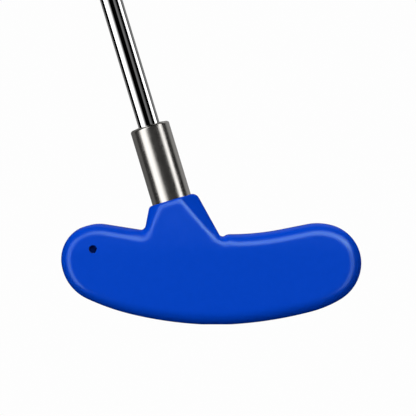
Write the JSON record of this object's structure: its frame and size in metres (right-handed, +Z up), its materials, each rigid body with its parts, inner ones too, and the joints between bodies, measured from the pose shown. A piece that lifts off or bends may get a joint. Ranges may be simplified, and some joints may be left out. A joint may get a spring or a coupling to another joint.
{
  "type": "mini golf putter",
  "caption": "Two-way mini golf putter with an over-moulded kidney-shaped head, steel hosel sleeve, stepped shaft and rubber grip.",
  "frame": {"origin": "middle of the small flat that the sole rests on", "axes": "+X to the toe, -Y out of the front striking face, +Z up; the shaft leans 16.85 degrees towards -X, the heel"},
  "size_m": [0.3354, 0.0268, 0.8543],
  "materials": {
    "head_cover": "satin, finely mottled",
    "head_core": "as cast",
    "hosel_sleeve": "brushed",
    "tip_plug": "cork",
    "shaft": "polished",
    "grip_tape": "matt",
    "grip": "matt"
  },
  "bodies": {
    "root": {"head_cover": "head_cover", "head_core": "head_core", "hosel_sleeve": "hosel_sleeve", "tip_plug": "tip_plug", "shaft": "shaft", "grip_tape": "grip_tape", "grip": "grip", "grip_cap": "grip"}
  },
  "joints": []
}
